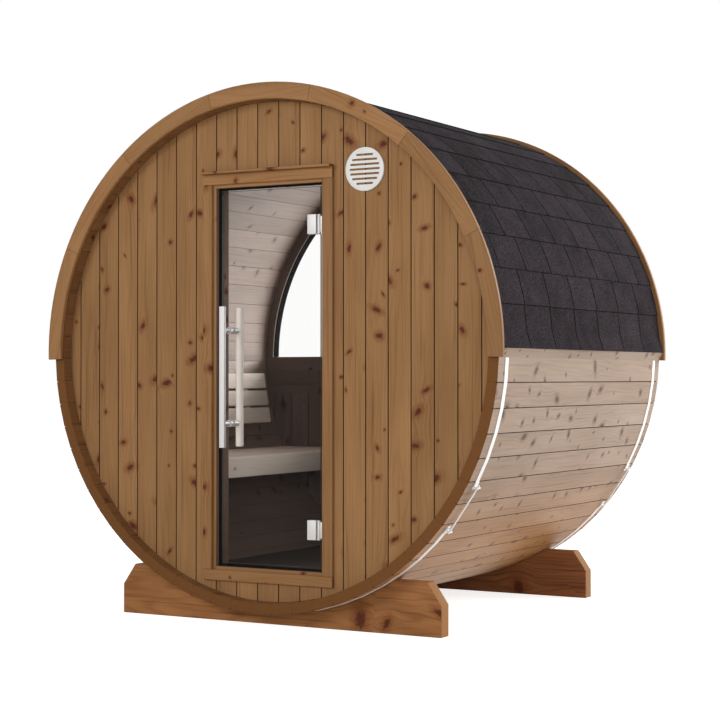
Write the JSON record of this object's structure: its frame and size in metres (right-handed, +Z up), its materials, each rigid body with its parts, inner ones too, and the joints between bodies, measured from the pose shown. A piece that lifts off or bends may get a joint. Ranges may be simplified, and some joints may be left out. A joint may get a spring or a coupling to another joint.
{
  "type": "barrel sauna cabin",
  "caption": "Round wooden sauna cabin on two cradles, with a hinged glass door in front, a half-round rear window, a bench and a shingled top.",
  "frame": {"origin": "on the ground, under the middle of the barrel", "axes": "+Z up, -Y out of the front wall with the door, +X to the right as seen from the front"},
  "size_m": [2.06, 1.653, 2.087],
  "materials": {
    "wood_front": "heat-treated wood boards with dark knots, satin oiled",
    "wood_trim": "heat-treated wood, satin oiled",
    "wood_side": "heat-treated wood staves, dry satin",
    "wood_cradle": "heat-treated wood, satin oiled",
    "wood_floor": "wood boards, dry satin",
    "wood_pale": "pale smooth wood",
    "shingle": "bitumen shingles with mineral grit, matte",
    "steel": "satin stainless steel",
    "seal": "black rubber",
    "tinted_glass": "tinted toughened glass",
    "clear_glass": "clear toughened glass",
    "grille": "light grey satin paint"
  },
  "bodies": {
    "cabin": {"front_cradle": "wood_cradle", "rear_cradle": "wood_cradle", "staves_bottom": "wood_side", "staves_right_low": "wood_side", "staves_right_mid": "wood_side", "staves_right_top": "wood_side", "staves_left_low": "wood_side", "staves_left_mid": "wood_side", "staves_left_top": "wood_side", "front_trim_left": "wood_trim", "front_trim_right": "wood_trim", "rear_trim_left": "wood_trim", "rear_trim_right": "wood_trim", "roof_shingles_left": "shingle", "roof_shingles_right": "shingle", "eave_battens": "wood_side", "front_strap": "steel", "rear_strap": "steel", "strap_tensioners": "steel", "front_wall_left": "wood_front", "front_wall_right": "wood_front", "front_wall_over_door": "wood_front", "front_wall_under_door": "wood_front", "door_jamb_left": "wood_trim", "door_jamb_right": "wood_trim", "door_jamb_head": "wood_trim", "door_sill": "wood_trim", "casing_sides": "wood_trim", "casing_head": "wood_trim", "casing_bottom": "wood_trim", "drip_cap": "wood_trim", "door_seal": "seal", "jamb_hinges": "steel", "floor_boards": "wood_floor", "bench_seat": "wood_pale", "bench_front_board": "wood_pale", "bench_backrest": "wood_pale", "rear_wall_lower": "wood_front", "rear_window_rail": "wood_trim", "rear_window_frame": "wood_trim", "rear_window_glass": "clear_glass", "vent_grille": "grille"},
    "door": {"door_glass": "tinted_glass", "door_hinge_clamps": "steel", "door_handle_bar": "steel", "door_handle_grip": "wood_pale", "door_handle_posts": "steel"}
  },
  "joints": [
    {"name": "door_hinge", "type": "hinge", "parent": "cabin", "child": "door", "pos_m": [0.216, -0.7325, 0.9585], "axis": [0, 0, 1], "range_deg": [0, 100]}
  ]
}
